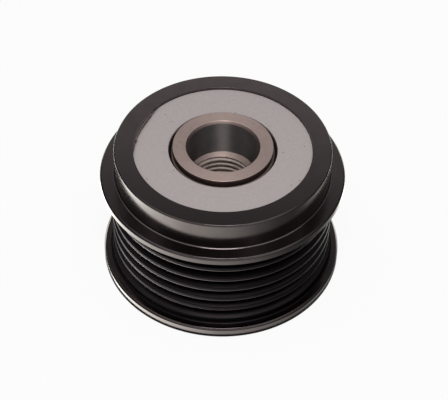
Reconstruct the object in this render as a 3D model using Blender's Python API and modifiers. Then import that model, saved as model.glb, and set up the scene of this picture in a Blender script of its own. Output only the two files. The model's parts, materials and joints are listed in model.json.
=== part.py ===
# Overrunning alternator pulley for a six-rib belt, standing on its front flange with the alternator side up.
# The axis is Z and the front flange rests on z = 0. A grooved outer ring turns on two roller bearings round
# a hub, and a roller clutch between them drives the hub in one direction only.

import math

import bmesh
import bpy
from mathutils import Matrix, Vector

MM = 0.001
FULL_TURN = 2 * math.pi

# Clearance that pieces keep where the real ones touch
SEAT_GAP = 0.3 * MM

# Belt grooves
RIB_PITCH = 3.56 * MM
GROOVE_COUNT = 6
GROOVE_ANGLE = math.radians(40)
CREST_RADIUS = 27.56 * MM
CREST_WIDTH = 1.25 * MM
GROOVE_ROOT_WIDTH = 0.5 * MM

# Outer ring, outside
FLANGE_RADIUS = 30.16 * MM
FLANGE_CHAMFER = 0.45 * MM
FLANGE_FILLET = 0.55 * MM
FRONT_FLANGE_THICKNESS = 2.85 * MM
REAR_FLANGE_THICKNESS = 1.75 * MM
SHOULDER_RADIUS = 27.9 * MM
SHOULDER_WIDTH = 1.15 * MM
COLLAR_RADIUS = 26.49 * MM
COLLAR_HEIGHT = 7.43 * MM
COLLAR_CHAMFER = 0.45 * MM
COLLAR_FILLET = 0.6 * MM
EDGE_BREAK = 0.25 * MM

# Outer ring, inside
SHIELD_RECESS_RADIUS = 21.85 * MM
REAR_SHIELD_DEPTH = 0.67 * MM
FRONT_SHIELD_DEPTH = 2.4 * MM
CAP_GROOVE_DEPTH = 0.6 * MM
CAP_GROOVE_WIDTH = 0.9 * MM
CAP_GROOVE_SETBACK = 0.8 * MM

# Shields and seals
SHIELD_THICKNESS = 0.9 * MM
SHIELD_BORE_RADIUS = 13.27 * MM
SEAL_HEIGHT = 1.9 * MM
SEAL_WEB = 0.7 * MM
SEAL_RIM = 1.2 * MM
SEAL_LIP = 0.9 * MM

# Hub
HUB_NOSE_RADIUS = 12.25 * MM
HUB_RACE_RADIUS = 12.6 * MM
HUB_STANDOUT = 0.3 * MM
HUB_FRONT_SETBACK = 1.2 * MM
HUB_EDGE_CHAMFER = 0.3 * MM
SHAFT_BORE_RADIUS = 8.5 * MM
SHAFT_BORE_DEPTH = 9.8 * MM
SHAFT_BORE_CHAMFER = 0.6 * MM
THREAD_CORE_RADIUS = 7.19 * MM
SOCKET_DEPTH = 9.5 * MM
SOCKET_CHAMFER = 0.55 * MM
SPLINE_TEETH = 33
SPLINE_ROOT_RADIUS = 8.95 * MM
SPLINE_TIP_RADIUS = 8.3 * MM
SPLINE_GROOVE_SHARE = 0.55
RELIEF_RADIUS = 9.25 * MM
RELIEF_WIDTH = 1.6 * MM

# Bearings
BEARING_ROLLERS = 12
BEARING_ROLLER_DIAMETER = 5.0 * MM
BEARING_CAGE_WIDTH = 6.8 * MM
BEARING_CAGE_WALL = 3.0 * MM
CAGE_END_RING = 0.9 * MM
SLEEVE_WALL = 1.2 * MM
SLEEVE_LIP = 1.2 * MM
SLEEVE_LIP_THICKNESS = 1.0 * MM

# Clutch
CLUTCH_ROLLERS = 8
CLUTCH_ROLLER_DIAMETER = 3.6 * MM
CLUTCH_POCKET_WIDTH = 7.2 * MM
RAMP_LAND_ANGLE = math.radians(8)
RAMP_STEP_ANGLE = math.radians(1.2)
ROLLER_REST_ANGLE = math.radians(14)
POCKET_MID_ANGLE = math.radians(10)
SPRING_THICKNESS = 0.2 * MM
SPRING_LEGS = 4

# Facets round each turned piece
RING_FACETS = 56
HUB_FACETS = 40
ROLLER_FACETS = 10
ROLLER_CHAMFER = 0.3 * MM
SHARP_ANGLE = math.radians(30)

# Heights worked out from the front flange upwards
half_groove_mouth = (RIB_PITCH - CREST_WIDTH) / 2
groove_slope = math.tan(GROOVE_ANGLE / 2)
groove_depth = (half_groove_mouth - GROOVE_ROOT_WIDTH / 2) / groove_slope
shoulder_rise = (SHOULDER_RADIUS - CREST_RADIUS) * groove_slope
front_shoulder_low = FRONT_FLANGE_THICKNESS + FLANGE_FILLET
front_shoulder_high = front_shoulder_low + SHOULDER_WIDTH
first_groove_middle = front_shoulder_high + shoulder_rise + half_groove_mouth
last_groove_middle = first_groove_middle + (GROOVE_COUNT - 1) * RIB_PITCH
rear_shoulder_low = last_groove_middle + half_groove_mouth + shoulder_rise
rear_shoulder_high = rear_shoulder_low + SHOULDER_WIDTH
rear_flange_low = rear_shoulder_high + FLANGE_FILLET
rear_flange_high = rear_flange_low + REAR_FLANGE_THICKNESS
ring_top = rear_flange_high + COLLAR_HEIGHT
hub_top = ring_top + HUB_STANDOUT
hub_bottom = HUB_FRONT_SETBACK

# Radii of the bearing and clutch, worked out from the hub outwards
bearing_roller_circle = HUB_RACE_RADIUS + SEAT_GAP + BEARING_ROLLER_DIAMETER / 2
race_radius = bearing_roller_circle + BEARING_ROLLER_DIAMETER / 2 + SEAT_GAP
sleeve_radius = race_radius + SLEEVE_WALL
ring_bore_radius = sleeve_radius + SEAT_GAP
clutch_roller_circle = race_radius - SEAT_GAP - CLUTCH_ROLLER_DIAMETER / 2
ramp_low_radius = clutch_roller_circle - CLUTCH_ROLLER_DIAMETER / 2 - SEAT_GAP

# Heights of what is stacked inside the ring
rear_shield_high = ring_top - REAR_SHIELD_DEPTH
rear_ledge = rear_shield_high - SHIELD_THICKNESS - SEAT_GAP
front_shield_low = FRONT_SHIELD_DEPTH
front_ledge = front_shield_low + SHIELD_THICKNESS + SEAT_GAP
front_seal_high = front_ledge + SEAL_HEIGHT
rear_seal_low = rear_ledge - SEAL_HEIGHT
sleeve_low = front_seal_high + SEAT_GAP
sleeve_high = rear_seal_low - SEAT_GAP
front_cage_low = sleeve_low + SLEEVE_LIP_THICKNESS + SEAT_GAP
rear_cage_low = sleeve_high - SLEEVE_LIP_THICKNESS - SEAT_GAP - BEARING_CAGE_WIDTH
clutch_low = front_cage_low + BEARING_CAGE_WIDTH + SEAT_GAP
clutch_high = rear_cage_low - SEAT_GAP

for old in list(bpy.data.objects):
    bpy.data.objects.remove(old, do_unlink=True)

parts = bpy.data.collections.new("alternator_pulley")
cutters = bpy.data.collections.new("cutters")
for collection in (parts, cutters):
    bpy.context.scene.collection.children.link(collection)
cutters.hide_render = True


def make_material(name, colour, roughness, metallic):
    """A Principled material; colour is linear red, green and blue."""
    material = bpy.data.materials.new(name)
    material.use_nodes = True
    shader = material.node_tree.nodes["Principled BSDF"]
    shader.inputs["Base Color"].default_value = (*colour, 1)
    shader.inputs["Roughness"].default_value = roughness
    shader.inputs["Metallic"].default_value = metallic
    return material


def make_empty(name, parent=None):
    empty = bpy.data.objects.new(name, None)
    empty.empty_display_size = FLANGE_RADIUS
    parts.objects.link(empty)
    empty.parent = parent
    return empty


def add_object(name, mesh, collection=parts, parent=None, material=None):
    obj = bpy.data.objects.new(name, mesh)
    collection.objects.link(obj)
    obj.parent = parent
    if material and not mesh.materials:
        mesh.materials.append(material)
    return obj


def add_cutter(name, mesh):
    cutter = add_object(name, mesh, cutters)
    cutter.hide_render = True
    cutter.display_type = "WIRE"
    return cutter


def cut(obj, cutter):
    boolean = obj.modifiers.new(cutter.name, "BOOLEAN")
    boolean.operation = "DIFFERENCE"
    boolean.solver = "EXACT"
    boolean.object = cutter


def settle(obj):
    """Turns what the modifiers make so far into the object's own mesh, smooth except at its real edges."""
    graph = bpy.context.evaluated_depsgraph_get()
    rough = obj.data
    mesh = bpy.data.meshes.new_from_object(obj.evaluated_get(graph))
    mesh.name = obj.name
    obj.modifiers.clear()
    obj.data = mesh
    bpy.data.meshes.remove(rough)
    mesh.shade_smooth()
    mesh.set_sharp_from_angle(angle=SHARP_ANGLE)


def turned(name, profile, facets, parent, material):
    """A closed (radius, height) profile swept round Z, running down its outer side and up its inner side."""
    count = len(profile)
    mesh = bpy.data.meshes.new(name)
    mesh.from_pydata(
        [(radius, 0, height) for radius, height in profile],
        [(i, (i + 1) % count) for i in range(count)],
        [],
    )
    obj = add_object(name, mesh, parent=parent, material=material)
    screw = obj.modifiers.new("turn", "SCREW")
    screw.axis = "Z"
    screw.steps = facets
    screw.render_steps = facets
    screw.use_merge_vertices = True
    screw.merge_threshold = 0.01 * MM
    settle(obj)
    return obj


def prism_mesh(name, outlines, low, high):
    """Closed outlines in XY, the first the outside and the rest holes, filled from one height to another."""
    curve = bpy.data.curves.new(name, "CURVE")
    curve.dimensions = "2D"
    curve.fill_mode = "BOTH"
    curve.extrude = (high - low) / 2
    for outline in outlines:
        spline = curve.splines.new("POLY")
        spline.points.add(len(outline) - 1)
        for point, (x, y) in zip(spline.points, outline):
            point.co = (x, y, 0, 1)
        spline.use_cyclic_u = True
    drawn = bpy.data.objects.new(name, curve)
    bpy.context.scene.collection.objects.link(drawn)
    graph = bpy.context.evaluated_depsgraph_get()
    mesh = bpy.data.meshes.new_from_object(drawn.evaluated_get(graph))
    bpy.data.objects.remove(drawn, do_unlink=True)
    bm = bmesh.new()
    bm.from_mesh(mesh)
    bmesh.ops.remove_doubles(bm, verts=bm.verts, dist=0.001 * MM)
    bmesh.ops.translate(bm, verts=bm.verts, vec=(0, 0, (high + low) / 2))
    bmesh.ops.recalc_face_normals(bm, faces=bm.faces)
    bm.to_mesh(mesh)
    bm.free()
    return mesh


def at_angle(radius, angle):
    return radius * math.cos(angle), radius * math.sin(angle)


def circle(radius, facets):
    return [at_angle(radius, FULL_TURN * i / facets) for i in range(facets)]


def pocket_boxes(count, first_angle, radius, width, depth, low, high):
    """Boxes spaced round Z that cut the windows of a roller cage."""
    bm = bmesh.new()
    size = Matrix.Diagonal((depth, width, high - low, 1))
    for i in range(count):
        turn = Matrix.Rotation(first_angle + FULL_TURN * i / count, 4, "Z")
        place = Matrix.Translation((radius, 0, (high + low) / 2))
        bmesh.ops.create_cube(bm, size=1, matrix=turn @ place @ size)
    mesh = bpy.data.meshes.new("pockets")
    bm.to_mesh(mesh)
    bm.free()
    return mesh


def roller_mesh(name, diameter, length, material):
    """One roller on its own axis, centred, with its ends chamfered."""
    bm = bmesh.new()
    bmesh.ops.create_cone(
        bm,
        cap_ends=True,
        segments=ROLLER_FACETS,
        radius1=diameter / 2,
        radius2=diameter / 2,
        depth=length,
    )
    rims = [edge for edge in bm.edges if abs(edge.verts[0].co.z - edge.verts[1].co.z) < 0.001 * MM]
    bmesh.ops.bevel(
        bm, geom=rims, offset=ROLLER_CHAMFER, segments=1, affect="EDGES", profile=0.5, material=-1
    )
    mesh = bpy.data.meshes.new(name)
    bm.to_mesh(mesh)
    bm.free()
    mesh.shade_smooth()
    mesh.set_sharp_from_angle(angle=SHARP_ANGLE)
    mesh.materials.append(material)
    return mesh


def place_round(mesh, name, count, radius, first_angle, height, parent):
    """Copies of one mesh spaced evenly round Z, each facing outwards."""
    for i in range(count):
        angle = first_angle + FULL_TURN * i / count
        obj = add_object(f"{name}_{i + 1}", mesh, parent=parent)
        obj.location = (*at_angle(radius, angle), height)
        obj.rotation_euler.z = angle


def groove_profile():
    """The belt grooves from the rear shoulder down to the front one, four points to a groove."""
    points = []
    root = CREST_RADIUS - groove_depth
    for i in reversed(range(GROOVE_COUNT)):
        middle = first_groove_middle + i * RIB_PITCH
        if i < GROOVE_COUNT - 1:
            points.append((CREST_RADIUS, middle + half_groove_mouth))
        points.append((root, middle + GROOVE_ROOT_WIDTH / 2))
        points.append((root, middle - GROOVE_ROOT_WIDTH / 2))
        if i > 0:
            points.append((CREST_RADIUS, middle - half_groove_mouth))
    return points


def make_outer_ring(parent, material):
    outside = [
        (COLLAR_RADIUS - COLLAR_CHAMFER, ring_top),
        (COLLAR_RADIUS, ring_top - COLLAR_CHAMFER),
        (COLLAR_RADIUS, rear_flange_high + COLLAR_FILLET),
        (COLLAR_RADIUS + COLLAR_FILLET * 0.3, rear_flange_high + COLLAR_FILLET * 0.3),
        (COLLAR_RADIUS + COLLAR_FILLET, rear_flange_high),
        (FLANGE_RADIUS - FLANGE_CHAMFER, rear_flange_high),
        (FLANGE_RADIUS, rear_flange_high - FLANGE_CHAMFER),
        (FLANGE_RADIUS, rear_flange_low),
        (SHOULDER_RADIUS + FLANGE_FILLET, rear_flange_low),
        (SHOULDER_RADIUS, rear_shoulder_high),
        (SHOULDER_RADIUS, rear_shoulder_low),
        *groove_profile(),
        (SHOULDER_RADIUS, front_shoulder_high),
        (SHOULDER_RADIUS, front_shoulder_low),
        (SHOULDER_RADIUS + FLANGE_FILLET, FRONT_FLANGE_THICKNESS),
        (FLANGE_RADIUS - FLANGE_CHAMFER, FRONT_FLANGE_THICKNESS),
        (FLANGE_RADIUS, FRONT_FLANGE_THICKNESS - FLANGE_CHAMFER),
        (FLANGE_RADIUS, EDGE_BREAK),
        (FLANGE_RADIUS - EDGE_BREAK, 0),
    ]
    cap_groove = SHIELD_RECESS_RADIUS + CAP_GROOVE_DEPTH
    inside = [
        (SHIELD_RECESS_RADIUS + EDGE_BREAK, 0),
        (SHIELD_RECESS_RADIUS, EDGE_BREAK),
        (SHIELD_RECESS_RADIUS, CAP_GROOVE_SETBACK),
        (cap_groove, CAP_GROOVE_SETBACK + EDGE_BREAK),
        (cap_groove, CAP_GROOVE_SETBACK + CAP_GROOVE_WIDTH),
        (SHIELD_RECESS_RADIUS, CAP_GROOVE_SETBACK + CAP_GROOVE_WIDTH + EDGE_BREAK),
        (SHIELD_RECESS_RADIUS, front_ledge),
        (ring_bore_radius, front_ledge),
        (ring_bore_radius, rear_ledge),
        (SHIELD_RECESS_RADIUS, rear_ledge),
        (SHIELD_RECESS_RADIUS, ring_top),
    ]
    return turned("outer_ring", outside + inside, RING_FACETS, parent, material)


def make_shield(name, low, parent, material):
    high = low + SHIELD_THICKNESS
    rim = SHIELD_RECESS_RADIUS - SEAT_GAP
    profile = [
        (rim, high),
        (rim, low),
        (SHIELD_BORE_RADIUS, low),
        (SHIELD_BORE_RADIUS, high),
    ]
    return turned(name, profile, HUB_FACETS, parent, material)


def make_seal(name, outer_face, inner_face, parent, material):
    """A lip seal whose web lies against the shield, at outer_face, with its lip reaching in to the hub."""
    inwards = 1 if inner_face > outer_face else -1
    rim = ring_bore_radius - SEAT_GAP
    lip = HUB_RACE_RADIUS + SEAT_GAP
    web = outer_face + inwards * SEAL_WEB
    profile = [
        (rim, outer_face),
        (rim, inner_face),
        (rim - SEAL_RIM, inner_face),
        (rim - SEAL_RIM, web),
        (lip + 2 * SEAL_LIP, web),
        (lip + SEAL_LIP, inner_face),
        (lip, inner_face),
        (lip + SEAL_LIP, outer_face),
    ]
    if inwards > 0:
        profile.reverse()
    return turned(name, profile, HUB_FACETS, parent, material)


def make_race_sleeve(parent, material):
    """The hard sleeve pressed into the ring, its two ends turned in over the bearings."""
    lip = race_radius - SLEEVE_LIP
    profile = [
        (sleeve_radius - EDGE_BREAK, sleeve_high),
        (sleeve_radius, sleeve_high - EDGE_BREAK),
        (sleeve_radius, sleeve_low + EDGE_BREAK),
        (sleeve_radius - EDGE_BREAK, sleeve_low),
        (lip, sleeve_low),
        (lip, sleeve_low + SLEEVE_LIP_THICKNESS),
        (race_radius, sleeve_low + SLEEVE_LIP_THICKNESS),
        (race_radius, sleeve_high - SLEEVE_LIP_THICKNESS),
        (lip, sleeve_high - SLEEVE_LIP_THICKNESS),
        (lip, sleeve_high),
    ]
    return turned("race_sleeve", profile, HUB_FACETS, parent, material)


def make_hub(parent, material):
    """The hub: shaft bore and thread from the rear, splined tool socket from the front."""
    nose_step = HUB_RACE_RADIUS - HUB_NOSE_RADIUS
    bore_end = hub_top - SHAFT_BORE_DEPTH
    relief_high = hub_bottom + SOCKET_DEPTH + RELIEF_WIDTH
    socket_mouth = SPLINE_ROOT_RADIUS + SOCKET_CHAMFER
    outside = [
        (HUB_NOSE_RADIUS - HUB_EDGE_CHAMFER, hub_top),
        (HUB_NOSE_RADIUS, hub_top - HUB_EDGE_CHAMFER),
        (HUB_NOSE_RADIUS, rear_ledge + nose_step),
        (HUB_RACE_RADIUS, rear_ledge),
        (HUB_RACE_RADIUS, front_ledge),
        (HUB_NOSE_RADIUS, front_ledge - nose_step),
        (HUB_NOSE_RADIUS, hub_bottom + HUB_EDGE_CHAMFER),
        (HUB_NOSE_RADIUS - HUB_EDGE_CHAMFER, hub_bottom),
    ]
    inside = [
        (socket_mouth, hub_bottom),
        (THREAD_CORE_RADIUS, hub_bottom + socket_mouth - THREAD_CORE_RADIUS),
        (THREAD_CORE_RADIUS, hub_bottom + SOCKET_DEPTH),
        (RELIEF_RADIUS, hub_bottom + SOCKET_DEPTH),
        (RELIEF_RADIUS, relief_high),
        (THREAD_CORE_RADIUS, relief_high + RELIEF_RADIUS - THREAD_CORE_RADIUS),
        (THREAD_CORE_RADIUS, bore_end - (SHAFT_BORE_RADIUS - THREAD_CORE_RADIUS)),
        (SHAFT_BORE_RADIUS, bore_end),
        (SHAFT_BORE_RADIUS, hub_top - SHAFT_BORE_CHAMFER),
        (SHAFT_BORE_RADIUS + SHAFT_BORE_CHAMFER, hub_top),
    ]
    hub = turned("hub", outside + inside, HUB_FACETS, parent, material)
    cut(hub, add_cutter("spline_cutter", spline_mesh()))
    return hub


def spline_mesh():
    """The star-shaped bar that leaves the teeth of the tool socket."""
    tooth = FULL_TURN / SPLINE_TEETH
    half_root = tooth * SPLINE_GROOVE_SHARE / 2
    half_mouth = tooth * (1 + SPLINE_GROOVE_SHARE) / 4
    outline = []
    for i in range(SPLINE_TEETH):
        middle = tooth * i
        outline.append(at_angle(SPLINE_TIP_RADIUS, middle - half_mouth))
        outline.append(at_angle(SPLINE_ROOT_RADIUS, middle - half_root))
        outline.append(at_angle(SPLINE_ROOT_RADIUS, middle + half_root))
        outline.append(at_angle(SPLINE_TIP_RADIUS, middle + half_mouth))
    return prism_mesh(
        "spline_cutter", [outline], hub_bottom - RELIEF_WIDTH, hub_bottom + SOCKET_DEPTH + RELIEF_WIDTH / 2
    )


def make_bearing(side, low, parent, cage_material, rollers):
    """A cage with its ring of rollers; the rollers stand proud of the cage inside and out."""
    high = low + BEARING_CAGE_WIDTH
    inner = bearing_roller_circle - BEARING_CAGE_WALL / 2
    outer = bearing_roller_circle + BEARING_CAGE_WALL / 2
    name = f"{side}_bearing_cage"
    profile = [(outer, high), (outer, low), (inner, low), (inner, high)]
    cage = turned(name, profile, HUB_FACETS, parent, cage_material)
    pockets = pocket_boxes(
        BEARING_ROLLERS,
        0,
        bearing_roller_circle,
        BEARING_ROLLER_DIAMETER + 2 * SEAT_GAP,
        2 * BEARING_CAGE_WALL,
        low + CAGE_END_RING,
        high - CAGE_END_RING,
    )
    cut(cage, add_cutter(f"{name}_pockets", pockets))
    place_round(
        rollers, f"{side}_bearing_roller", BEARING_ROLLERS, bearing_roller_circle, 0, (low + high) / 2, parent
    )


def make_ramp_ring(parent, material):
    """The clutch's inner ring: one flat ramp for each roller, rising to a land and stepping down to the next."""
    sector = FULL_TURN / CLUTCH_ROLLERS
    foot = ramp_low_radius / math.cos(ROLLER_REST_ANGLE)
    land_start = sector - RAMP_LAND_ANGLE
    land = ramp_low_radius / math.cos(land_start - ROLLER_REST_ANGLE)
    outline = []
    for i in range(CLUTCH_ROLLERS):
        start = sector * i
        outline.append(at_angle(foot, start))
        outline.append(at_angle(land, start + land_start))
        outline.append(at_angle(land, start + sector - RAMP_STEP_ANGLE))
    bore = circle(HUB_RACE_RADIUS + SEAT_GAP, HUB_FACETS)
    mesh = prism_mesh("clutch_ramp_ring", [outline, bore], clutch_low, clutch_high)
    add_object("clutch_ramp_ring", mesh, parent=parent, material=material)
    return land


def spring_mesh(name, width, height, length, material):
    """A folded leaf spring: legs that zigzag across its width, standing along Z."""
    half = width / 2 - SPRING_THICKNESS / 2
    bm = bmesh.new()
    corners = [(-height / 2, -half), (height / 2, -half)]
    for i in range(1, SPRING_LEGS - 1):
        across = -half + 2 * half * i / (SPRING_LEGS - 2)
        corners.append((height / 2 * (-1) ** i, across))
    corners.append((corners[-1][0] * -1, half))
    foot = [bm.verts.new((radial, across, -length / 2)) for radial, across in corners]
    legs = [bm.edges.new(pair) for pair in zip(foot, foot[1:])]
    grown = bmesh.ops.extrude_edge_only(bm, edges=legs)["geom"]
    top = [item for item in grown if isinstance(item, bmesh.types.BMVert)]
    bmesh.ops.translate(bm, verts=top, vec=(0, 0, length))
    mesh = bpy.data.meshes.new(name)
    bm.to_mesh(mesh)
    bm.free()
    mesh.materials.append(material)
    return mesh


def make_clutch(parent, materials):
    land = make_ramp_ring(parent, materials["clutch_ramp_ring"])
    cage_inner = land + SEAT_GAP
    cage_outer = race_radius - SEAT_GAP
    pocket_low = clutch_low + CAGE_END_RING
    pocket_high = clutch_high - CAGE_END_RING
    middle = (clutch_low + clutch_high) / 2
    length = pocket_high - pocket_low - 2 * SEAT_GAP

    profile = [(cage_outer, clutch_high), (cage_outer, clutch_low), (cage_inner, clutch_low), (cage_inner, clutch_high)]
    cage = turned("clutch_cage", profile, HUB_FACETS, parent, materials["clutch_cage"])
    pockets = pocket_boxes(
        CLUTCH_ROLLERS,
        POCKET_MID_ANGLE,
        clutch_roller_circle,
        CLUTCH_POCKET_WIDTH,
        2 * CLUTCH_ROLLER_DIAMETER,
        pocket_low,
        pocket_high,
    )
    cut(cage, add_cutter("clutch_cage_pockets", pockets))

    roller = roller_mesh("clutch_roller", CLUTCH_ROLLER_DIAMETER, length, materials["clutch_roller"])
    place_round(
        roller, "clutch_roller", CLUTCH_ROLLERS, clutch_roller_circle, ROLLER_REST_ANGLE, middle, parent
    )

    roller_across = clutch_roller_circle * math.sin(ROLLER_REST_ANGLE - POCKET_MID_ANGLE)
    spring_start = -CLUTCH_POCKET_WIDTH / 2 + SEAT_GAP
    spring_end = roller_across - CLUTCH_ROLLER_DIAMETER / 2 - SEAT_GAP
    spring = spring_mesh(
        "clutch_spring",
        spring_end - spring_start,
        cage_outer - cage_inner - 2 * SEAT_GAP,
        length,
        materials["clutch_spring"],
    )
    spring_middle = Vector(((cage_inner + cage_outer) / 2, (spring_start + spring_end) / 2))
    place_round(
        spring,
        "clutch_spring",
        CLUTCH_ROLLERS,
        spring_middle.length,
        POCKET_MID_ANGLE + math.atan2(spring_middle.y, spring_middle.x),
        middle,
        parent,
    )
    for obj in parts.objects:
        if obj.name.startswith("clutch_spring"):
            leaf = obj.modifiers.new("leaf", "SOLIDIFY")
            leaf.thickness = SPRING_THICKNESS
            leaf.offset = 0


def make_materials():
    """Colour, roughness and metallic value of each kind of piece."""
    looks = {
        "outer_ring": ((0.012, 0.011, 0.010), 0.34, 0.6),
        "race_sleeve": ((0.42, 0.42, 0.43), 0.25, 1.0),
        "shield": ((0.39, 0.34, 0.32), 0.55, 0.7),
        "seal": ((0.014, 0.014, 0.015), 0.75, 0.0),
        "hub": ((0.40, 0.34, 0.32), 0.35, 0.9),
        "clutch_ramp_ring": ((0.36, 0.35, 0.35), 0.3, 1.0),
        "clutch_cage": ((0.03, 0.035, 0.03), 0.5, 0.0),
        "clutch_roller": ((0.6, 0.6, 0.61), 0.12, 1.0),
        "clutch_spring": ((0.45, 0.45, 0.46), 0.25, 1.0),
        "bearing_cage": ((0.05, 0.075, 0.05), 0.5, 0.0),
        "bearing_roller": ((0.6, 0.6, 0.61), 0.12, 1.0),
    }
    return {name: make_material(name, *look) for name, look in looks.items()}


def main():
    materials = make_materials()
    hub_assembly = make_empty("hub_assembly")
    pulley = make_empty("pulley", hub_assembly)
    rear_bearing = make_empty("rear_bearing", hub_assembly)
    front_bearing = make_empty("front_bearing", hub_assembly)

    make_hub(hub_assembly, materials["hub"])
    make_clutch(hub_assembly, materials)
    make_outer_ring(pulley, materials["outer_ring"])
    make_race_sleeve(pulley, materials["race_sleeve"])
    make_shield("rear_shield", rear_shield_high - SHIELD_THICKNESS, pulley, materials["shield"])
    make_shield("front_shield", front_shield_low, pulley, materials["shield"])
    make_seal("rear_seal", rear_ledge, rear_seal_low, pulley, materials["seal"])
    make_seal("front_seal", front_ledge, front_seal_high, pulley, materials["seal"])

    length = BEARING_CAGE_WIDTH - 2 * CAGE_END_RING - 2 * SEAT_GAP
    rollers = roller_mesh("bearing_roller", BEARING_ROLLER_DIAMETER, length, materials["bearing_roller"])
    make_bearing("rear", rear_cage_low, rear_bearing, materials["bearing_cage"], rollers)
    make_bearing("front", front_cage_low, front_bearing, materials["bearing_cage"], rollers)


main()
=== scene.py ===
# Looks for the overrunning alternator pulley: fine turned pieces, finishes, a pale studio
# and the camera. Sizes in the dictionaries are millimetres. The pulley's axis is Z and its
# front flange stands on z = 0.

import json
import math

import bmesh
import bpy
from mathutils import Matrix, Vector

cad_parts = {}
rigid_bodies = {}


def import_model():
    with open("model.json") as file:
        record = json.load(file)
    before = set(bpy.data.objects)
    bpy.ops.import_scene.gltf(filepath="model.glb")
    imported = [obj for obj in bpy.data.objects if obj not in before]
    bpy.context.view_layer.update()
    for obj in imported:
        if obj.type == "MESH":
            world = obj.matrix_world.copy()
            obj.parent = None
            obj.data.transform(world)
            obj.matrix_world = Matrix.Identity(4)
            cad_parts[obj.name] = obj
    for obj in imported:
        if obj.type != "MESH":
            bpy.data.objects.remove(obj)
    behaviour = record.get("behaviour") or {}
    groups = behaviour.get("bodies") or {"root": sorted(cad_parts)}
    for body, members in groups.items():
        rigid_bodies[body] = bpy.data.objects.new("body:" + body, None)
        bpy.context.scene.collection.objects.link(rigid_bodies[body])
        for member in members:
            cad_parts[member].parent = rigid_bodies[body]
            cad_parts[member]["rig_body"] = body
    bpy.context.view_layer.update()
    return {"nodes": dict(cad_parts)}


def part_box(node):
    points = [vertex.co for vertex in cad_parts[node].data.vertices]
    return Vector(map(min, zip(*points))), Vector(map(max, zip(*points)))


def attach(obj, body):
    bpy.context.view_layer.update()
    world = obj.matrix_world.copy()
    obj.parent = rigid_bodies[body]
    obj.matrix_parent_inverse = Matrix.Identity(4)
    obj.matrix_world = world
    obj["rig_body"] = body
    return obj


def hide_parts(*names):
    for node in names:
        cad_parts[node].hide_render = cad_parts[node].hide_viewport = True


mm = 0.001
fullTurn = 2 * math.pi
sharpAngle = 46  # degrees; a fold over this stays a sharp edge
roundingSteps = 4  # straight runs in the arc of a rounded corner
tiny = 0.001  # millimetres; points that are nearer than this are one

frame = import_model()
cadNodes = frame["nodes"]
print("frame loaded:", len(cadNodes), "solids")


def hexColour(text):
    # sRGB hex to the linear colour that shaders take
    channels = [int(text[i : i + 2], 16) / 255 for i in (1, 3, 5)]
    linear = [c / 12.92 if c <= 0.04045 else ((c + 0.055) / 1.055) ** 2.4 for c in channels]
    return (*linear, 1)


def addNode(tree, kind, settings=None, links=None, **values):
    # settings are the node's own properties; values and links go to its sockets by name or number
    node = tree.nodes.new(kind)
    for key, value in (settings or {}).items():
        setattr(node, key, value)
    for key, value in values.items():
        socket = int(key[1:]) if key[1:].isdigit() else key.replace("_", " ")
        node.inputs[socket].default_value = value
    for socket, source in (links or {}).items():
        tree.links.new(source, node.inputs[socket])
    return node


def addMath(tree, operation, links, **values):
    # a Math node, given back as its result
    return addNode(tree, "ShaderNodeMath", {"operation": operation}, links, **values).outputs["Value"]


def fillRamp(ramp, stops):
    # stops are (position, grey level)
    while len(ramp.elements) < len(stops):
        ramp.elements.new(0.5)
    for element, (position, level) in zip(ramp.elements, stops):
        element.position = position
        element.color = (level, level, level, 1)


def fromAxis(tree, coords):
    # distance from the pulley's axis
    flat = addNode(
        tree, "ShaderNodeVectorMath", {"operation": "MULTIPLY"}, {0: coords}, _1=(1, 1, 0)
    ).outputs["Vector"]
    return addNode(
        tree, "ShaderNodeVectorMath", {"operation": "LENGTH"}, {0: flat}
    ).outputs["Value"]


def latheMarks(tree, coords, feed):
    # a tool's path over faces and walls alike: distance from the axis plus height, in steps
    # of the feed, which is drawn coarser than a real one so that it shows
    height = addNode(tree, "ShaderNodeSeparateXYZ", links={"Vector": coords}).outputs["Z"]
    path = addMath(tree, "ADD", {0: fromAxis(tree, coords), 1: height})
    marks = addNode(
        tree,
        "ShaderNodeTexNoise",
        {"noise_dimensions": "1D"},
        {"W": path},
        Scale=1 / (feed * mm),
        Detail=3.0,
        Roughness=0.6,
    )
    return marks.outputs["Fac"]


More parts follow.
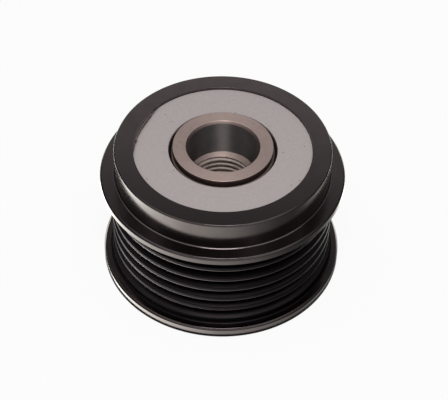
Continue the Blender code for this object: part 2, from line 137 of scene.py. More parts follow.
def metalFinish(name, look):
    # a turned or ground metal: lathe marks and soft mottling steer its colour, roughness and
    # bump, and its flecks are drawn larger than real ones so that they show
    material = bpy.data.materials.new(name)
    material.use_nodes = True
    tree = material.node_tree
    shader = tree.nodes["Principled BSDF"]
    shader.inputs["Metallic"].default_value = look["metallic"]
    coords = addNode(tree, "ShaderNodeTexCoord").outputs["Object"]
    marks = latheMarks(tree, coords, look["feed"])
    mottle = addNode(
        tree,
        "ShaderNodeTexNoise",
        links={"Vector": coords},
        Scale=1 / (look["mottleSize"] * mm),
        Detail=4.0,
        Roughness=0.6,
    ).outputs["Fac"]
    blend = addMath(tree, "MULTIPLY_ADD", {0: marks, 2: mottle}, _1=look["markShare"])
    tone = addNode(
        tree,
        "ShaderNodeMapRange",
        links={"Value": blend},
        From_Min=0.3 * (1 + look["markShare"]),  # noise lies mostly between 0.3 and 0.7
        From_Max=0.7 * (1 + look["markShare"]),
    ).outputs["Result"]
    skin = addNode(
        tree,
        "ShaderNodeMix",
        {"data_type": "RGBA"},
        {"Factor": tone},
        _6=hexColour(look["dark"]),  # sockets 6 and 7 hold the two colours that are mixed
        _7=hexColour(look["light"]),
    ).outputs[2]
    if "flecks" in look:
        spacing, size, fleckColour = look["flecks"]
        cells = addNode(
            tree, "ShaderNodeTexVoronoi", links={"Vector": coords}, Scale=1 / (spacing * mm)
        ).outputs["Distance"]
        fleck = addMath(tree, "LESS_THAN", {0: cells}, _1=size / spacing)
        skin = addNode(
            tree,
            "ShaderNodeMix",
            {"data_type": "RGBA"},
            {"Factor": fleck, 6: skin},
            _7=hexColour(fleckColour),
        ).outputs[2]
    tree.links.new(skin, shader.inputs["Base Color"])
    rough = addNode(
        tree,
        "ShaderNodeMapRange",
        links={"Value": tone},
        To_Min=look["rough"][1],
        To_Max=look["rough"][0],
    )
    tree.links.new(rough.outputs["Result"], shader.inputs["Roughness"])
    bump = addNode(
        tree,
        "ShaderNodeBump",
        links={"Height": blend},
        Strength=look["bump"],
        Distance=look["depth"] * mm,
    )
    tree.links.new(bump.outputs["Normal"], shader.inputs["Normal"])
    shader.inputs["Anisotropic"].default_value = look.get("anisotropic", 0)
    shader.inputs["Anisotropic Rotation"].default_value = 0.25  # across the tool marks
    shader.inputs["Specular Tint"].default_value = hexColour(look.get("edgeTint", "#ffffff"))
    return material


def keepPiece(bm, name, body, material, replaced):
    # makes the shape an object that rides on a body and takes the place of solids
    bmesh.ops.recalc_face_normals(bm, faces=bm.faces[:])
    mesh = bpy.data.meshes.new(name)
    bm.to_mesh(mesh)
    bm.free()
    piece = bpy.data.objects.new(name, mesh)
    bpy.context.scene.collection.objects.link(piece)
    mesh.materials.append(material)
    mesh.shade_smooth()
    mesh.set_sharp_from_angle(angle=math.radians(sharpAngle))
    evenShading = piece.modifiers.new("evenShading", "WEIGHTED_NORMAL")
    evenShading.keep_sharp = True
    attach(piece, body)
    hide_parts(*replaced)
    return piece


def addFinishes(piece, *finishes):
    # gives a piece more materials and returns their slot numbers
    for finish in finishes:
        piece.data.materials.append(finish)
    return range(1, len(finishes) + 1)


def drawProfile(corners):
    # corners are (radius, height, rounding), and a corner with a rounding becomes an arc
    bm = bmesh.new()
    drawn = [bm.verts.new((r * mm, 0, z * mm)) for r, z, rounding in corners]
    bm.faces.new(drawn)
    for size in sorted({rounding for r, z, rounding in corners if rounding}):
        picked = [v for v, corner in zip(drawn, corners) if corner[2] == size]
        bmesh.ops.bevel(
            bm,
            geom=picked,
            offset=size * mm,
            segments=roundingSteps,
            profile=0.5,
            affect="VERTICES",
            material=-1,
        )
    bmesh.ops.delete(bm, geom=bm.faces[:], context="FACES_ONLY")
    return bm


def spinProfile(bm, steps):
    bmesh.ops.spin(
        bm,
        geom=bm.verts[:] + bm.edges[:],
        cent=(0, 0, 0),
        axis=(0, 0, 1),
        dvec=(0, 0, 0),
        angle=fullTurn,
        steps=steps,
        use_merge=True,
    )


# Black oxide on turned steel: a dark satin metal whose faces mirror the room softly
blackOxideSteel = metalFinish(
    "blackOxideSteel",
    {
        "metallic": 1.0,
        "dark": "#564e4f",
        "light": "#5f5758",
        "rough": (0.15, 0.19),
        "feed": 0.35,
        "mottleSize": 5.0,
        "markShare": 0.6,
        "bump": 0.06,
        "depth": 0.01,
    },
)

# The same oxide on the form-turned groove walls: duller, its colour darker than the faces as painted
# shade down in the grooves, with a faint sheen from wall to wall
blackOxideGrooves = metalFinish(
    "blackOxideGrooves",
    {
        "metallic": 1.0,
        "dark": "#211e1f",
        "light": "#272425",
        "rough": (0.3, 0.38),
        "feed": 0.35,
        "mottleSize": 5.0,
        "markShare": 0.6,
        "bump": 0.08,
        "depth": 0.01,
    },
)

# Crests and shoulders: dull and nearly black, their colour darker than the faces as painted shade
blackOxideCrests = metalFinish(
    "blackOxideCrests",
    {
        "metallic": 1.0,
        "dark": "#171416",
        "light": "#1c191b",
        "edgeTint": "#d2cfd1",
        "rough": (0.3, 0.38),
        "feed": 0.35,
        "mottleSize": 5.0,
        "markShare": 0.6,
        "bump": 0.08,
        "depth": 0.01,
    },
)

# A lighter copy of the oxide along the ribs' lower corners: a painted highlight, a narrow bright line
rubbedOxideSteel = metalFinish(
    "rubbedOxideSteel",
    {
        "metallic": 1.0,
        "dark": "#544a4e",
        "light": "#5e5357",
        "rough": (0.22, 0.28),
        "feed": 0.35,
        "mottleSize": 2.5,
        "markShare": 0.5,
        "bump": 0.06,
        "depth": 0.01,
    },
)

# Stamped sheet steel with a tumbled, lightly oiled phosphate skin: matte and warm grey
phosphatedSheetSteel = metalFinish(
    "phosphatedSheetSteel",
    {
        "metallic": 0.25,
        "dark": "#a59c9b",
        "light": "#aca4a2",
        "rough": (0.58, 0.66),
        "feed": 1.2,
        "mottleSize": 0.8,
        "markShare": 0.15,
        "bump": 0.1,
        "depth": 0.03,
        "flecks": (2.6, 0.17, "#6a6160"),
    },
)

# Turned bearing steel, left bare: a warm sheen, drawn out across the tool marks
turnedHubSteel = metalFinish(
    "turnedHubSteel",
    {
        "metallic": 0.65,
        "dark": "#a18d87",
        "light": "#b09c96",
        "rough": (0.4, 0.52),
        "feed": 0.3,
        "mottleSize": 2.2,
        "markShare": 0.6,
        "bump": 0.15,
        "depth": 0.02,
        "anisotropic": 0.5,
        "flecks": (3.4, 0.16, "#6b5148"),
    },
)

# Honed steel of the shaft bore: neutral and oiled, its colour darker than the turned faces as painted
# shade down in the bore, and dark where it sees only itself
honedBoreSteel = metalFinish(
    "honedBoreSteel",
    {
        "metallic": 1.0,
        "dark": "#686261",
        "light": "#787270",
        "rough": (0.5, 0.58),
        "feed": 0.3,
        "mottleSize": 3.0,
        "markShare": 0.8,
        "bump": 0.1,
        "depth": 0.01,
        "anisotropic": 1.0,
    },
)

# Ground track of the seal round the hub, and the bore's chamfer: oily brown, its colour darker
# than the faces beside them as painted shade in the gap round the hub and on the chamfer
groundTrackSteel = metalFinish(
    "groundTrackSteel",
    {
        "metallic": 1.0,
        "dark": "#75645f",
        "light": "#81726d",
        "rough": (0.36, 0.44),
        "feed": 0.3,
        "mottleSize": 3.0,
        "markShare": 0.5,
        "bump": 0.06,
        "depth": 0.01,
    },
)

# Steel as the tap left it, down in the bore: paler and more matte than the turned faces
tappedThreadSteel = metalFinish(
    "tappedThreadSteel",
    {
        "metallic": 0.15,
        "dark": "#93837c",
        "light": "#a6968e",
        "rough": (0.42, 0.55),
        "feed": 0.4,
        "mottleSize": 0.9,
        "markShare": 0.3,
        "bump": 0.2,
        "depth": 0.03,
    },
)

# Ground and honed bearing steel: bright, cool and fine
groundBearingSteel = metalFinish(
    "groundBearingSteel",
    {
        "metallic": 1.0,
        "dark": "#b4b4b2",
        "light": "#c6c6c3",
        "rough": (0.16, 0.26),
        "feed": 0.25,
        "mottleSize": 3.0,
        "markShare": 0.5,
        "bump": 0.06,
        "depth": 0.01,
    },
)

# Tempered strip for the clutch springs: straw to blue-grey, smooth
blueTemperedSpringSteel = metalFinish(
    "blueTemperedSpringSteel",
    {
        "metallic": 1.0,
        "dark": "#5c626c",
        "light": "#7c7f82",
        "rough": (0.22, 0.32),
        "feed": 0.6,
        "mottleSize": 1.5,
        "markShare": 0.3,
        "bump": 0.04,
        "depth": 0.01,
    },
)


def mouldedFinish(name, look):
    # a moulded plastic or rubber: one grain, drawn coarser than a real one so that it shows,
    # steers its colour, roughness and bump
    material = bpy.data.materials.new(name)
    material.use_nodes = True
    tree = material.node_tree
    shader = tree.nodes["Principled BSDF"]
    shader.inputs["IOR"].default_value = look["ior"]
    coords = addNode(tree, "ShaderNodeTexCoord").outputs["Object"]
    grain = addNode(
        tree,
        "ShaderNodeTexNoise",
        links={"Vector": coords},
        Scale=1 / (look["grain"] * mm),
        Detail=3.0,
    ).outputs["Fac"]
    tone = addNode(
        tree,
        "ShaderNodeMapRange",
        links={"Value": grain},
        From_Min=0.35,  # the middle of the noise, stretched for a clearer grain
        From_Max=0.65,
    ).outputs["Result"]
    colour = addNode(
        tree,
        "ShaderNodeMix",
        {"data_type": "RGBA"},
        {"Factor": tone},
        _6=hexColour(look["dark"]),
        _7=hexColour(look["light"]),
    )
    tree.links.new(colour.outputs[2], shader.inputs["Base Color"])
    rough = addNode(
        tree,
        "ShaderNodeMapRange",
        links={"Value": tone},
        To_Min=look["rough"][0],
        To_Max=look["rough"][1],
    )
    tree.links.new(rough.outputs["Result"], shader.inputs["Roughness"])
    bump = addNode(
        tree,
        "ShaderNodeBump",
        links={"Height": grain},
        Strength=look["bump"],
        Distance=look["depth"] * mm,
    )
    tree.links.new(bump.outputs["Normal"], shader.inputs["Normal"])
    return material


# Nitrile rubber of the lip seals: dull black from the mould
nitrileRubber = mouldedFinish(
    "nitrileRubber",
    {
        "dark": "#1c1b1b",
        "light": "#242322",
        "ior": 1.52,
        "rough": (0.55, 0.7),
        "grain": 0.5,
        "bump": 0.15,
        "depth": 0.05,
    },
)

# Glass-filled polyamide 66 of the roller cages: dark, with the glass showing as a faint grain
glassFilledPolyamide = mouldedFinish(
    "glassFilledPolyamide",
    {
        "dark": "#262925",
        "light": "#33372f",
        "ior": 1.53,
        "rough": (0.42, 0.56),
        "grain": 0.6,
        "bump": 0.2,
        "depth": 0.05,
    },
)
print("finishes ready")

# Belt wheel: collar, two flanges, two shoulders and six grooves, all turned from one bar.
# Its last five entries say which faces take the darker groove and crest oxides, which are painted
# shade, and the lighter oxide on the ribs' lower corners, which is a painted highlight.
outerRing = {
    "top": 35.7875,
    "collarRadius": 26.49,
    "collarChamfer": 0.3,
    "collarFillet": 0.45,
    "flangeRadius": 30.16,
    "flangeChamfer": 0.45,
    "rearFlange": (26.6075, 28.3575),
    "frontFlange": 2.85,
    "shoulderRadius": 27.9,
    "shoulderFillet": 0.55,
    "shoulderEdge": 0.1,
    "rearShoulderLow": 24.9075,
    "frontShoulderHigh": 4.55,
    "crestRadius": 27.56,
    "rootRadius": 25.073,
    "firstGroove": 5.829,
    "pitch": 3.56,
    "grooves": 6,
    "halfMouth": 1.155,
    "halfRoot": 0.25,
    "grooveRounding": 0.2,
    "crestLowRounding": 0.32,
    "recessRadius": 21.85,
    "rearLedge": 33.9175,
    "frontLedge": 3.6,
    "boreRadius": 19.7,
    "boreRounding": 0.2,
    "footChamfer": 0.25,
    "footEdge": 0.08,
    "capGroove": {"low": 0.8, "high": 1.95, "depth": 0.6, "slope": 0.25},
    "edge": 0.05,
    "steps": 256,
    "beltRadii": (22.7, 28.44),
    "beltHeights": (2.86, 26.6),
    "crestFinishFrom": 27.2,
    "rubbedBelow": 25.1,
    "rubbedTilt": (-0.9, -0.02),
}


def ringCorners(ring):
    edge, flange, chamfer = ring["edge"], ring["flangeRadius"], ring["flangeChamfer"]
    low, high = ring["rearFlange"]
    recess, foot, footEdge = ring["recessRadius"], ring["footChamfer"], ring["footEdge"]
    cap, crest, root = ring["capGroove"], ring["crestRadius"], ring["rootRadius"]
    corners = [
        (recess, ring["top"], edge),
        (ring["collarRadius"] - ring["collarChamfer"], ring["top"], edge),
        (ring["collarRadius"], ring["top"] - ring["collarChamfer"], edge),
        (ring["collarRadius"], high, ring["collarFillet"]),
        (flange - chamfer, high, edge),
        (flange, high - chamfer, edge),
        (flange, low, edge),
        (ring["shoulderRadius"], low, ring["shoulderFillet"]),
        (ring["shoulderRadius"], ring["rearShoulderLow"], ring["shoulderEdge"]),
    ]
    for i in reversed(range(ring["grooves"])):
        middle = ring["firstGroove"] + i * ring["pitch"]
        if i < ring["grooves"] - 1:
            corners.append((crest, middle + ring["halfMouth"], ring["crestLowRounding"]))
        corners.append((root, middle + ring["halfRoot"], ring["grooveRounding"]))
        corners.append((root, middle - ring["halfRoot"], ring["grooveRounding"]))
        if i:
            corners.append((crest, middle - ring["halfMouth"], ring["grooveRounding"]))
    corners += [
        (ring["shoulderRadius"], ring["frontShoulderHigh"], ring["shoulderEdge"]),
        (ring["shoulderRadius"], ring["frontFlange"], ring["shoulderFillet"]),
        (flange - chamfer, ring["frontFlange"], edge),
        (flange, ring["frontFlange"] - chamfer, edge),
        (flange, foot, footEdge),
        (flange - foot, 0, footEdge),
        (recess + foot, 0, footEdge),
        (recess, foot, footEdge),
        (recess, cap["low"], edge),
        (recess + cap["depth"], cap["low"] + cap["slope"], footEdge),
        (recess + cap["depth"], cap["high"] - cap["slope"], footEdge),
        (recess, cap["high"], edge),
        (recess, ring["frontLedge"], 0),
        (ring["boreRadius"], ring["frontLedge"], ring["boreRounding"]),
        (ring["boreRadius"], ring["rearLedge"], ring["boreRounding"]),
        (recess, ring["rearLedge"], 0),
    ]
    return corners


# Burr: a lip that the last cut left leaning in over the shield, with one tab, at the ring's
# left. reach holds (turn from the front in degrees, millimetres inwards), and section holds
# (share of reach, height). Its ridge, between two shares of reach, is coloured with the lighter
# hub steel: a painted highlight along the ridge.
burr = {
    "reach": [
        (-134, 0.02),
        (-127, 0.5),
        (-120, 1.0),
        (-114, 1.12),
        (-108, 1.05),
        (-102, 0.86),
        (-97, 0.7),
        (-95, 0.88),
        (-93, 0.62),
        (-87, 0.36),
        (-83.5, 0.18),
        (-81, 0.02),
    ],
    "section": [
        (-0.1, 35.6),
        (-0.1, 35.785),
        (0.7, 35.79),
        (0.84, 35.84),
        (1.0, 35.76),
        (1.0, 35.6),
    ],
    "ridge": (0.7, 0.84),
    "ridgeAbove": 35.7,
    "ridgeInside": 0.02,
    "steps": 88,
}


def burrReach(place):
    # how far the burr leans in at a place round the ring
    turn = math.degrees(math.atan2(place.x, -place.y))
    table = burr["reach"]
    for (start, low), (end, high) in zip(table, table[1:]):
        if start <= turn <= end:
            return low + (high - low) * (turn - start) / (end - start)
    return table[0][1]


def addBurr(bm, edgeRadius):
    # a section with a reach of 1 mm, spun along the ring's inner edge, then drawn in to its
    # true reach
    first, last = burr["reach"][0][0], burr["reach"][-1][0]
    start = Matrix.Rotation(math.radians(first - 90), 3, "Z")
    section = [Vector(((edgeRadius - share) * mm, 0, z * mm)) for share, z in burr["section"]]
    drawn = [bm.verts.new(start @ corner) for corner in section]
    sides = [bm.edges.new(pair) for pair in zip(drawn, drawn[1:] + drawn[:1])]
    bmesh.ops.spin(
        bm,
        geom=drawn + sides,
        cent=(0, 0, 0),
        axis=(0, 0, 1),
        dvec=(0, 0, 0),
        angle=math.radians(last - first),
        steps=burr["steps"],
    )
    for vertex in bm.verts:
        radius = vertex.co.xy.length
        share = edgeRadius - radius / mm
        if share > 0:
            drawnIn = (edgeRadius - share * burrReach(vertex.co)) * mm / radius
            vertex.co.x *= drawnIn
            vertex.co.y *= drawnIn
    bmesh.ops.holes_fill(bm, edges=[edge for edge in bm.edges if edge.is_boundary])


burrShape = bmesh.new()
addBurr(burrShape, outerRing["recessRadius"])
burrMesh = bpy.data.meshes.new("burr")
burrShape.to_mesh(burrMesh)
burrShape.free()
bm = drawProfile(ringCorners(outerRing))
spinProfile(bm, outerRing["steps"])
bm.from_mesh(burrMesh)
bpy.data.meshes.remove(burrMesh)
ringPiece = keepPiece(bm, "outerRing", "pulley", blackOxideSteel, ["outer_ring"])
shadedGrooveSlot, paintedHighlightSlot, ridgeHighlightSlot, shadedCrestSlot = addFinishes(
    ringPiece, blackOxideGrooves, rubbedOxideSteel, turnedHubSteel, blackOxideCrests
)
beltInner, beltOuter = outerRing["beltRadii"]
beltLow, beltHigh = outerRing["beltHeights"]
steepest, flattest = outerRing["rubbedTilt"]
for face in ringPiece.data.polygons:
    radius, height = face.center.xy.length / mm, face.center.z / mm
    inwards = outerRing["recessRadius"] - radius
    if beltInner < radius < beltOuter and beltLow < height < beltHigh:
        if radius < outerRing["crestFinishFrom"]:
            # the groove walls take the darker oxide of painted shade
            face.material_index = shadedGrooveSlot
        else:
            tilted = steepest < face.normal.z < flattest
            # the ribs' lower corners take the lighter oxide of the painted highlight
            lowerCorner = height < outerRing["rubbedBelow"] and tilted
            # the other crest and shoulder faces take the darker oxide of painted shade
            face.material_index = paintedHighlightSlot if lowerCorner else shadedCrestSlot
    elif inwards > burr["ridgeInside"] and height > burr["ridgeAbove"] and face.normal.z > 0:
        if burr["ridge"][0] < inwards / burrReach(face.center) < burr["ridge"][1]:
            # the ridge takes the lighter hub steel as a painted highlight
            face.material_index = ridgeHighlightSlot
print("outer ring turned")

# Shields: flat rings pressed from sheet, with their sheared edges broken
shields = {
    "rearShield": {"node": "rear_shield", "low": 34.2175, "high": 35.1175},
    "frontShield": {"node": "front_shield", "low": 2.4, "high": 3.3},
}
shieldShape = {"bore": 13.27, "rim": 21.8, "edge": 0.12, "steps": 192}
for name, shield in shields.items():
    edge = shieldShape["edge"]
    bm = drawProfile([
        (shieldShape["bore"], shield["high"], edge),
        (shieldShape["rim"], shield["high"], edge),
        (shieldShape["rim"], shield["low"], edge),
        (shieldShape["bore"], shield["low"], edge),
    ])
    spinProfile(bm, shieldShape["steps"])
    keepPiece(bm, name, "pulley", phosphatedSheetSteel, [shield["node"]])
print("shields pressed")

# Hub: shaft bore, M16x1.5 thread, relief and the splined socket that a tool holds it by.
# Its last eight entries say which faces are the seal's track, the bore's chamfer, the bore
# and the thread.
hub = {
    "corners": [
        (9.1, 36.0875, 0.08),
        (12.25, 36.0875, 0.15),
        (12.25, 34.2675, 0),
        (12.6, 33.9175, 0.05),
        (12.6, 3.6, 0.05),
        (12.25, 3.25, 0),
        (12.25, 1.2, 0.35),
        (9.5, 1.2, 0.06),
        (8.3, 2.4, 0.06),
        (8.3, 10.7, 0.05),
        (9.25, 10.7, 0.1),
        (9.25, 12.3, 0.1),
        (7.0, 14.55, 0),
        (7.0, 24.7875, 0),
        (8.5, 26.2875, 0.1),
        (8.5, 35.4875, 0.06),
    ],
    "steps": 192,
    "threadPitch": 1.5,
    "threadCore": 7.27,
    "threadMajor": 8.0,
    "threadFrom": 11.5,
    "threadTo": 27.2,
    "threadSteps": 96,
    "teeth": 33,
    "toothRoot": 8.95,
    "mouthWidth": 1.22,
    "rootWidth": 0.94,
    "toothDepth": 1.0,
    "socketEnd": 11.5,
    "trackFrom": 12,
    "trackTilt": 0.7,
    "chamferRadii": (8.55, 9.05),
    "chamferAbove": 35.4,
    "boreRadii": (8.3, 8.55),
    "boreAbove": 26.2,
    "threadWithin": 8.5,
    "threadHeights": (11, 24.75),
}


def threadCutter(shape):
    # one pitch of a 60 degree thread, whose groove has a flat of an eighth of the pitch, spun
    # along its helix and trimmed flat at both ends
    pitch, core, major = shape["threadPitch"], shape["threadCore"], shape["threadMajor"]
    flank = (major - core) * math.tan(math.radians(30))
    crest = pitch * 7 / 8 - 2 * flank
    below = shape["threadFrom"] - 2 * pitch
    turns = math.ceil((shape["threadTo"] - below) / pitch) + 2
    bm = bmesh.new()
    rise = [0, crest, crest + flank, crest + flank + pitch / 8, pitch]
    reach = [core, core, major, major, core]
    drawn = [bm.verts.new((r * mm, 0, (below + z) * mm)) for r, z in zip(reach, rise)]
    for start, end in zip(drawn, drawn[1:]):
        bm.edges.new((start, end))
    bmesh.ops.spin(
        bm,
        geom=bm.verts[:] + bm.edges[:],
        cent=(0, 0, 0),
        axis=(0, 0, 1),
        dvec=(0, 0, pitch * mm / shape["threadSteps"]),
        angle=fullTurn * turns,
        steps=shape["threadSteps"] * turns,
    )
    bmesh.ops.remove_doubles(bm, verts=bm.verts[:], dist=2 * tiny * mm)
    for height, outwards in ((shape["threadFrom"], -1), (shape["threadTo"], 1)):
        bmesh.ops.bisect_plane(
            bm,
            geom=bm.verts[:] + bm.edges[:] + bm.faces[:],
            plane_co=(0, 0, height * mm),
            plane_no=(0, 0, outwards),
            clear_outer=True,
            dist=tiny / 10 * mm,
        )
    bmesh.ops.holes_fill(bm, edges=[edge for edge in bm.edges if edge.is_boundary])
    return bm


def addToothCutters(bm, shape):
    # one tapered bar that stands between two teeth, repeated round the socket
    width, depth, height = shape["mouthWidth"], shape["toothDepth"], shape["socketEnd"]
    made = bmesh.ops.create_cube(bm, size=1)["verts"]
    bmesh.ops.scale(bm, verts=made, vec=(depth * mm, width * mm, height * mm))
    outer = [v for v in made if v.co.x > 0]
    bmesh.ops.scale(bm, verts=outer, vec=(1, shape["rootWidth"] / width, 1))
    middle = Vector((shape["toothRoot"] - depth / 2, 0, height / 2)) * mm
    bmesh.ops.translate(bm, verts=made, vec=middle)
    faces = list({face for v in made for face in v.link_faces})
    edges = list({edge for v in made for edge in v.link_edges})
    bmesh.ops.spin(
        bm,
        geom=made + edges + faces,
        cent=(0, 0, 0),
        axis=(0, 0, 1),
        angle=fullTurn * (shape["teeth"] - 1) / shape["teeth"],
        steps=shape["teeth"] - 1,
        use_duplicate=True,
    )


def cutAway(piece, bm, name):
    # takes the cutter's shape out of the piece for good
    bmesh.ops.recalc_face_normals(bm, faces=bm.faces[:])
    mesh = bpy.data.meshes.new(name)
    bm.to_mesh(mesh)
    bm.free()
    cutter = bpy.data.objects.new(name, mesh)
    bpy.context.scene.collection.objects.link(cutter)
    boolean = piece.modifiers.new(name, "BOOLEAN")
    boolean.object = cutter
    boolean.operation = "DIFFERENCE"
    boolean.solver = "EXACT"
    graph = bpy.context.evaluated_depsgraph_get()
    uncut = piece.data
    piece.data = bpy.data.meshes.new_from_object(piece.evaluated_get(graph))
    piece.modifiers.remove(boolean)
    bpy.data.objects.remove(cutter)
    bpy.data.meshes.remove(mesh)
    bpy.data.meshes.remove(uncut)


bm = drawProfile(hub["corners"])
spinProfile(bm, hub["steps"])
bmesh.ops.recalc_face_normals(bm, faces=bm.faces[:])
blankMesh = bpy.data.meshes.new("hubBlank")
bm.to_mesh(blankMesh)
bm.free()
blank = bpy.data.objects.new("hubBlank", blankMesh)
bpy.context.scene.collection.objects.link(blank)
cutAway(blank, threadCutter(hub), "threadCutter")
toothCutters = bmesh.new()
addToothCutters(toothCutters, hub)
cutAway(blank, toothCutters, "toothCutters")
bm = bmesh.new()
bm.from_mesh(blank.data)
cutMesh = blank.data
bpy.data.objects.remove(blank)
bpy.data.meshes.remove(cutMesh)
bmesh.ops.remove_doubles(bm, verts=bm.verts[:], dist=tiny * mm)
hubPiece = keepPiece(bm, "threadedHub", "hub_assembly", turnedHubSteel, ["hub"])
boreSlot, threadSlot, shadedTrackSlot = addFinishes(
    hubPiece, honedBoreSteel, tappedThreadSteel, groundTrackSteel
)
chamferInner, chamferOuter = hub["chamferRadii"]
boreInner, boreOuter = hub["boreRadii"]
threadLow, threadHigh = hub["threadHeights"]
for face in hubPiece.data.polygons:
    radius, height = face.center.xy.length / mm, face.center.z / mm
    onTrack = radius > hub["trackFrom"] and abs(face.normal.z) < hub["trackTilt"]
    onChamfer = chamferInner < radius < chamferOuter and height > hub["chamferAbove"]
    if onTrack or onChamfer:
        # the seal's track and the bore's chamfer take the darker steel of painted shade
        face.material_index = shadedTrackSlot
    elif boreInner < radius < boreOuter and height > hub["boreAbove"]:
        # the bore takes the darker honed steel of painted shade
        face.material_index = boreSlot
    elif radius < hub["threadWithin"] and threadLow < height < threadHigh:
        face.material_index = threadSlot
print("hub threaded and splined")

# Race sleeve: drawn steel, its ends turned in over the bearings
raceSleeve = {
    "corners": [
        (19.4, 31.7175, 0.5),
        (19.4, 5.8, 0.5),
        (17.0, 5.8, 0.15),
        (17.0, 6.8, 0.15),
        (18.2, 6.8, 0.1),
        (18.2, 30.7175, 0.1),
        (17.0, 30.7175, 0.15),
        (17.0, 31.7175, 0.15),
    ],
    "steps": 128,
}
bm = drawProfile(raceSleeve["corners"])
spinProfile(bm, raceSleeve["steps"])
keepPiece(bm, "raceSleeve", "pulley", groundBearingSteel, ["race_sleeve"])

# Rollers: ground pins with rounded ends, one over each solid
rollerShape = {"segments": 32, "endRounding": 0.3, "endSteps": 3}
for nodeName in sorted(name for name in cadNodes if "roller" in name):
    low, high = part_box(nodeName)
    size = high - low
    radius = max(size.x, size.y) / 2
    bm = bmesh.new()
    bmesh.ops.create_cone(
        bm,
        cap_ends=True,
        segments=rollerShape["segments"],
        radius1=radius,
        radius2=radius,
        depth=size.z,
        matrix=Matrix.Translation((low + high) / 2),
    )
    rims = [e for e in bm.edges if abs(e.verts[0].co.z - e.verts[1].co.z) < tiny * mm]
    bmesh.ops.bevel(
        bm,
        geom=rims,
        offset=rollerShape["endRounding"] * mm,
        segments=rollerShape["endSteps"],
        affect="EDGES",
        profile=0.5,
        material=-1,
    )
    words = nodeName.split("_")
    keepPiece(
        bm,
        words[0] + "".join(word.capitalize() for word in words[1:]),
        cadNodes[nodeName]["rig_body"],
        groundBearingSteel,
        [nodeName],
    )
print("sleeve and rollers ground")

# Seals: moulded rings whose web lies on the shield and whose lip reaches in to the hub
sealShape = {
    "rim": 19.5,
    "rimWidth": 1.2,
    "lip": 12.7,
    "lipWidth": 0.9,
    "web": 0.7,
    "height": 1.9,
    "rounding": 0.15,
    "webRounding": 0.3,
    "lipRounding": 0.1,
    "outerRounding": 0.2,
    "steps": 128,
}
seals = {
    "rearSeal": {"node": "rear_seal", "outerFace": 33.9175, "inwards": -1},
    "frontSeal": {"node": "front_seal", "outerFace": 3.6, "inwards": 1},
}
for name, seal in seals.items():
    outer, web = seal["outerFace"], seal["outerFace"] + seal["inwards"] * sealShape["web"]
    inner = outer + seal["inwards"] * sealShape["height"]
    rim, lip, lipWidth = sealShape["rim"], sealShape["lip"], sealShape["lipWidth"]
    rimInside, rounding = rim - sealShape["rimWidth"], sealShape["rounding"]
    bm = drawProfile([
        (rim, outer, rounding),
        (rim, inner, rounding),
        (rimInside, inner, rounding),
        (rimInside, web, sealShape["webRounding"]),
        (lip + 2 * lipWidth, web, sealShape["webRounding"]),
        (lip + lipWidth, inner, rounding),
        (lip, inner, sealShape["lipRounding"]),
        (lip + lipWidth, outer, sealShape["outerRounding"]),
    ])
    spinProfile(bm, sealShape["steps"])
    keepPiece(bm, name, "pulley", nitrileRubber, [seal["node"]])
print("seals moulded")

# Cages, clutch ramps and springs, which nothing outside shows, keep their solids under
# finishes of their own
carriedOver = {
    "rear_bearing_cage": glassFilledPolyamide,
    "front_bearing_cage": glassFilledPolyamide,
    "clutch_cage": glassFilledPolyamide,
    "clutch_ramp_ring": groundBearingSteel,
}
for nodeName, solid in cadNodes.items():
    finish = blueTemperedSpringSteel if "spring" in nodeName else carriedOver.get(nodeName)
    if finish:
        solid.data.materials.clear()
        solid.data.materials.append(finish)
print("inner solids finished")

# Camera: the photograph's view, about 46 degrees down on the pulley, with a long lens and a
# slight roll. Places are in metres.
cameraView = {
    "place": (0, -0.24378, 0.26681),
    "aim": (0, 0, 0.018),
    "roll": 1.131,
    "lens": 111.36,
    "sensor": 36,
    "shift": (0.00448, -0.00408),
    "nearest": 0.01,
}
cameraData = bpy.data.cameras.new("photoCamera")
cameraData.sensor_fit = "HORIZONTAL"
cameraData.sensor_width = cameraView["sensor"]
cameraData.lens = cameraView["lens"]
cameraData.shift_x, cameraData.shift_y = cameraView["shift"]
cameraData.clip_start = cameraView["nearest"]
camera = bpy.data.objects.new("photoCamera", cameraData)
bpy.context.scene.collection.objects.link(camera)
bpy.context.scene.camera = camera
place = Vector(cameraView["place"])
look = (Vector(cameraView["aim"]) - place).to_track_quat("-Z", "Y").to_matrix().to_4x4()
roll = Matrix.Rotation(math.radians(cameraView["roll"]), 4, "Z")
camera.matrix_world = Matrix.Translation(place) @ look @ roll


def reflectedRays(tree, rays):
    # 1 for a ray that comes from a shiny or clear surface, 0 for others
    return addMath(
        tree,
        "MAXIMUM",
        {0: rays.outputs["Is Glossy Ray"], 1: rays.outputs["Is Transmission Ray"]},
    )


# Studio floor: pale, matte paper a hair below the foot, white to the camera and dim to
# reflections, with the pulley's own shadow on it. Its size is in metres, its height in mm.
studioFloor = {
    "size": 1.6,
    "height": -0.05,
    "colour": "#d8d7d5",
    "roughness": 0.9,
    "whiteShare": 0.92,
    "reflectedShare": 0.9,
    "reflected": 0.08,
}
bm = bmesh.new()
bmesh.ops.create_grid(bm, x_segments=1, y_segments=1, size=studioFloor["size"] / 2)
floorMesh = bpy.data.meshes.new("studioFloor")
bm.to_mesh(floorMesh)
bm.free()
floor = bpy.data.objects.new("studioFloor", floorMesh)
bpy.context.scene.collection.objects.link(floor)
floorMesh.transform(Matrix.Translation((0, 0, studioFloor["height"] * mm)))
floorMaterial = bpy.data.materials.new("palePaperFloor")
floorMaterial.use_nodes = True
tree = floorMaterial.node_tree
paper = tree.nodes["Principled BSDF"]
paper.inputs["Base Color"].default_value = hexColour(studioFloor["colour"])
paper.inputs["Roughness"].default_value = studioFloor["roughness"]
rays = addNode(tree, "ShaderNodeLightPath")
reflectedPart = addMath(
    tree, "MULTIPLY", {0: reflectedRays(tree, rays)}, _1=studioFloor["reflectedShare"]
)
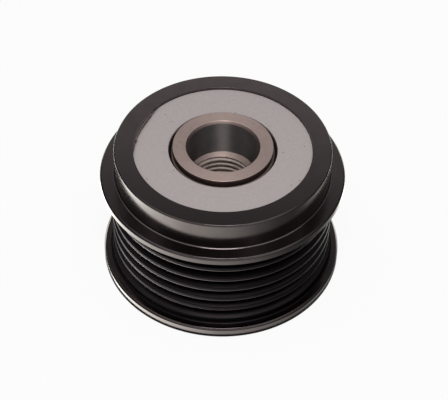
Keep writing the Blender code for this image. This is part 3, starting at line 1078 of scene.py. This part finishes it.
whitePart = addMath(
    tree,
    "MULTIPLY_ADD",
    {0: rays.outputs["Is Camera Ray"], 2: reflectedPart},
    _1=studioFloor["whiteShare"],
)
level = addMath(
    tree,
    "MULTIPLY_ADD",
    {0: rays.outputs["Is Camera Ray"]},
    _1=1 - studioFloor["reflected"],
    _2=studioFloor["reflected"],
)
white = addNode(tree, "ShaderNodeEmission", links={"Strength": level}, Color=(1, 1, 1, 1))
mixed = addNode(
    tree,
    "ShaderNodeMixShader",
    links={0: whitePart, 1: paper.outputs["BSDF"], 2: white.outputs["Emission"]},
)
tree.links.new(mixed.outputs["Shader"], tree.nodes["Material Output"].inputs["Surface"])
floorMesh.materials.append(floorMaterial)

# Room: white behind the pulley. Reflections show a dim room with one pale band at half
# height, given as (sine of the angle above the horizon, brightness). Fill is the level for
# all other rays.
room = {
    "fill": 0.27,
    "bands": [(0.0, 0.1), (0.52, 0.18), (0.64, 0.98), (0.69, 0.36), (0.735, 0.08), (1.0, 0.08)],
}
world = bpy.data.worlds.new("studioRoom")
bpy.context.scene.world = world
world.use_nodes = True
tree = world.node_tree
background = tree.nodes["Background"]
rays = addNode(tree, "ShaderNodeLightPath")
direction = addNode(tree, "ShaderNodeTexCoord").outputs["Generated"]
rise = addNode(tree, "ShaderNodeSeparateXYZ", links={"Vector": direction}).outputs["Z"]
bands = addNode(tree, "ShaderNodeValToRGB", links={"Fac": rise})
fillRamp(bands.color_ramp, room["bands"])
unseen = addNode(
    tree,
    "ShaderNodeMix",
    {"data_type": "FLOAT"},
    {0: reflectedRays(tree, rays), 3: bands.outputs["Color"]},
    _2=room["fill"],
).outputs[0]
seen = addNode(
    tree,
    "ShaderNodeMix",
    {"data_type": "FLOAT"},
    {0: rays.outputs["Is Camera Ray"], 2: unseen},
    _3=1.0,
).outputs[0]
tree.links.new(seen, background.inputs["Strength"])
background.inputs["Color"].default_value = (1, 1, 1, 1)

# Lamps: a broad softbox overhead, a smaller one in front of it and a glow lying on the
# floor. The softboxes' places and sizes are in metres.
softboxes = {
    "overheadSoftbox": {"place": (-0.02, -0.05, 0.62), "size": (1.0, 0.66), "watts": 2.4},
    "frontSoftbox": {"place": (0.0, -0.2, 0.6), "size": (0.2, 0.24), "watts": 1.5},
}
# The glow goes round the pulley as (share of a turn from the left, brightness), near its foot
# and farther out. Its levels were set to give the black walls the reflections of lit
# paper that the photograph shows: strong at the left and weak at the front right. It leaves
# out the floor under the pulley.
floorGlow = {
    "size": 260,
    "height": 0.6,
    "clear": 30.6,
    "blend": (35, 44),
    "peak": 8.0,
    "tint": "#f8fff5",
    "near": [
        (0.0, 0.7),
        (0.022, 2.2),
        (0.083, 6.8),
        (0.139, 5.2),
        (0.194, 3.6),
        (0.25, 1.75),
        (0.306, 1.1),
        (0.361, 0.5),
        (0.417, 0.5),
        (0.472, 0.8),
        (0.54, 2.0),
        (0.75, 0.7),
        (0.96, 0.45),
        (1.0, 0.7),
    ],
    "far": [
        (0.0, 4.6),
        (0.083, 3.5),
        (0.167, 2.0),
        (0.25, 1.3),
        (0.333, 0.4),
        (0.38, 0.1),
        (0.42, 0.04),
        (0.455, 0.12),
        (0.5, 0.6),
        (0.53, 1.3),
        (0.575, 4.2),
        (0.68, 1.2),
        (0.82, 1.2),
        (0.925, 5.6),
        (1.0, 4.6),
    ],
}


def addAreaLamp(name, place, facing, size, watts, tint="#ffffff"):
    light = bpy.data.lights.new(name, "AREA")
    light.shape = "RECTANGLE"
    light.size, light.size_y = size
    light.energy = watts
    light.color = hexColour(tint)[:3]
    lamp = bpy.data.objects.new(name, light)
    bpy.context.scene.collection.objects.link(lamp)
    lamp.location = place
    lamp.rotation_euler = Vector(facing).to_track_quat("-Z", "Y").to_euler()
    lamp.visible_camera = False
    return lamp


for name, box in softboxes.items():
    addAreaLamp(name, box["place"], -Vector(box["place"]), box["size"], box["watts"])
glowSide = floorGlow["size"] * mm
glowWatts = math.pi * glowSide**2  # at these watts a strength of 1 is as bright as white
glowLamp = addAreaLamp(
    "floorGlow",
    (0, 0, floorGlow["height"] * mm),
    (0, 0, 1),
    (glowSide, glowSide),
    glowWatts,
    floorGlow["tint"],
)
glowLamp.data.use_nodes = True
tree = glowLamp.data.node_tree
spot = addNode(tree, "ShaderNodeNewGeometry").outputs["Position"]
turn = addNode(tree, "ShaderNodeTexGradient", {"gradient_type": "RADIAL"}, {"Vector": spot})
levels = []
for zone in ("near", "far"):
    bands = addNode(tree, "ShaderNodeValToRGB", links={"Fac": turn.outputs["Fac"]})
    fillRamp(bands.color_ramp, [(at, level / floorGlow["peak"]) for at, level in floorGlow[zone]])
    levels.append(bands.outputs["Color"])
distance = fromAxis(tree, spot)
outside = addMath(tree, "GREATER_THAN", {0: distance}, _1=floorGlow["clear"] * mm)
away = addNode(
    tree,
    "ShaderNodeMapRange",
    {"interpolation_type": "SMOOTHSTEP"},
    {"Value": distance},
    From_Min=floorGlow["blend"][0] * mm,
    From_Max=floorGlow["blend"][1] * mm,
).outputs["Result"]
glow = addNode(
    tree,
    "ShaderNodeMix",
    {"data_type": "FLOAT"},
    {0: away, 2: levels[0], 3: levels[1]},
).outputs[0]
lit = addMath(tree, "MULTIPLY", {0: glow, 1: outside})
strength = addMath(tree, "MULTIPLY", {0: lit}, _1=floorGlow["peak"])
tree.links.new(strength, tree.nodes["Emission"].inputs["Strength"])
print("studio lit")

scene = bpy.context.scene
scene.view_settings.view_transform = "Standard"
